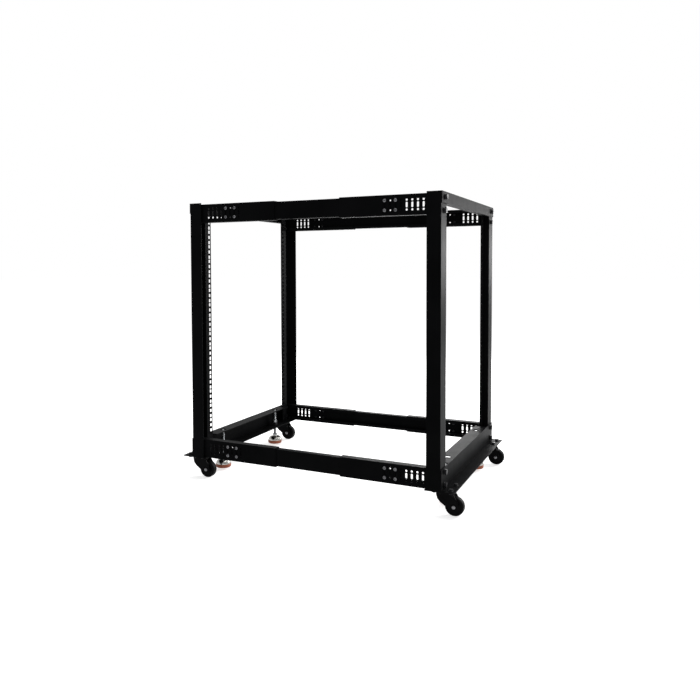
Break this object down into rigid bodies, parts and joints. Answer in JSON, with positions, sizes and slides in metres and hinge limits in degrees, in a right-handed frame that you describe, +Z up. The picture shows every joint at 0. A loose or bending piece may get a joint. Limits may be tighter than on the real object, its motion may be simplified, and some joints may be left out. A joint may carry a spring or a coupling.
{
  "type": "four post open frame rack",
  "caption": "Open frame equipment rack with square-hole posts, depth-adjustable side rails, swivel casters and leveling feet.",
  "frame": {"origin": "middle of the footprint on the floor the wheels stand on", "axes": "+X to the rack's right side, +Y to the rear, +Z up"},
  "size_m": [0.6, 0.8526, 0.831],
  "materials": {
    "frame_coat": "fine textured black powder coat",
    "caster_steel": "satin black",
    "wheel_tread": "matt black nylon",
    "foot_metal": "bright zinc",
    "foot_rubber": "matt orange rubber"
  },
  "bodies": {
    "frame": {"post_front_left": "frame_coat", "post_front_right": "frame_coat", "post_rear_left": "frame_coat", "post_rear_right": "frame_coat", "top_beam_front": "frame_coat", "base_channel_front": "frame_coat", "base_plate_front": "frame_coat", "top_beam_rear": "frame_coat", "base_channel_rear": "frame_coat", "base_plate_rear": "frame_coat", "upper_rail_left_front": "frame_coat", "upper_rail_left_middle": "frame_coat", "upper_rail_left_rear": "frame_coat", "upper_rail_right_front": "frame_coat", "upper_rail_right_middle": "frame_coat", "upper_rail_right_rear": "frame_coat", "lower_rail_left_front": "frame_coat", "lower_rail_left_middle": "frame_coat", "lower_rail_left_rear": "frame_coat", "lower_rail_right_front": "frame_coat", "lower_rail_right_middle": "frame_coat", "lower_rail_right_rear": "frame_coat", "caster_plate_front_left": "caster_steel", "caster_plate_front_right": "caster_steel", "caster_plate_rear_left": "caster_steel", "caster_plate_rear_right": "caster_steel"},
    "caster_front_left": {"caster_fork_front_left": "caster_steel"},
    "wheel_front_left": {"caster_wheel_front_left": "wheel_tread"},
    "leveler_front_left": {"foot_front_left": "foot_metal", "foot_front_left_pad": "foot_rubber"},
    "caster_front_right": {"caster_fork_front_right": "caster_steel"},
    "wheel_front_right": {"caster_wheel_front_right": "wheel_tread"},
    "leveler_front_right": {"foot_front_right": "foot_metal", "foot_front_right_pad": "foot_rubber"},
    "caster_rear_left": {"caster_fork_rear_left": "caster_steel"},
    "wheel_rear_left": {"caster_wheel_rear_left": "wheel_tread"},
    "leveler_rear_left": {"foot_rear_left": "foot_metal", "foot_rear_left_pad": "foot_rubber"},
    "caster_rear_right": {"caster_fork_rear_right": "caster_steel"},
    "wheel_rear_right": {"caster_wheel_rear_right": "wheel_tread"},
    "leveler_rear_right": {"foot_rear_right": "foot_metal", "foot_rear_right_pad": "foot_rubber"}
  },
  "joints": [
    {"name": "swivel_front_left", "type": "hinge", "parent": "frame", "child": "caster_front_left", "pos_m": [-0.257, -0.37525, 0.06], "axis": [0, 0, 1], "continuous": true},
    {"name": "roll_front_left", "type": "hinge", "parent": "caster_front_left", "child": "wheel_front_left", "pos_m": [-0.257, -0.40125, 0.025], "axis": [1, 0, 0], "continuous": true},
    {"name": "level_front_left", "type": "slide", "parent": "frame", "child": "leveler_front_left", "axis": [0, 0, 1], "range_m": [-0.006, 0.02]},
    {"name": "swivel_front_right", "type": "hinge", "parent": "frame", "child": "caster_front_right", "pos_m": [0.257, -0.37525, 0.06], "axis": [0, 0, 1], "continuous": true},
    {"name": "roll_front_right", "type": "hinge", "parent": "caster_front_right", "child": "wheel_front_right", "pos_m": [0.257, -0.40125, 0.025], "axis": [1, 0, 0], "continuous": true},
    {"name": "level_front_right", "type": "slide", "parent": "frame", "child": "leveler_front_right", "axis": [0, 0, 1], "range_m": [-0.006, 0.02]},
    {"name": "swivel_rear_left", "type": "hinge", "parent": "frame", "child": "caster_rear_left", "pos_m": [-0.257, 0.39075, 0.06], "axis": [0, 0, 1], "continuous": true},
    {"name": "roll_rear_left", "type": "hinge", "parent": "caster_rear_left", "child": "wheel_rear_left", "pos_m": [-0.257, 0.36475, 0.025], "axis": [1, 0, 0], "continuous": true},
    {"name": "level_rear_left", "type": "slide", "parent": "frame", "child": "leveler_rear_left", "axis": [0, 0, 1], "range_m": [-0.006, 0.02]},
    {"name": "swivel_rear_right", "type": "hinge", "parent": "frame", "child": "caster_rear_right", "pos_m": [0.257, 0.39075, 0.06], "axis": [0, 0, 1], "continuous": true},
    {"name": "roll_rear_right", "type": "hinge", "parent": "caster_rear_right", "child": "wheel_rear_right", "pos_m": [0.257, 0.36475, 0.025], "axis": [1, 0, 0], "continuous": true},
    {"name": "level_rear_right", "type": "slide", "parent": "frame", "child": "leveler_rear_right", "axis": [0, 0, 1], "range_m": [-0.006, 0.02]}
  ]
}
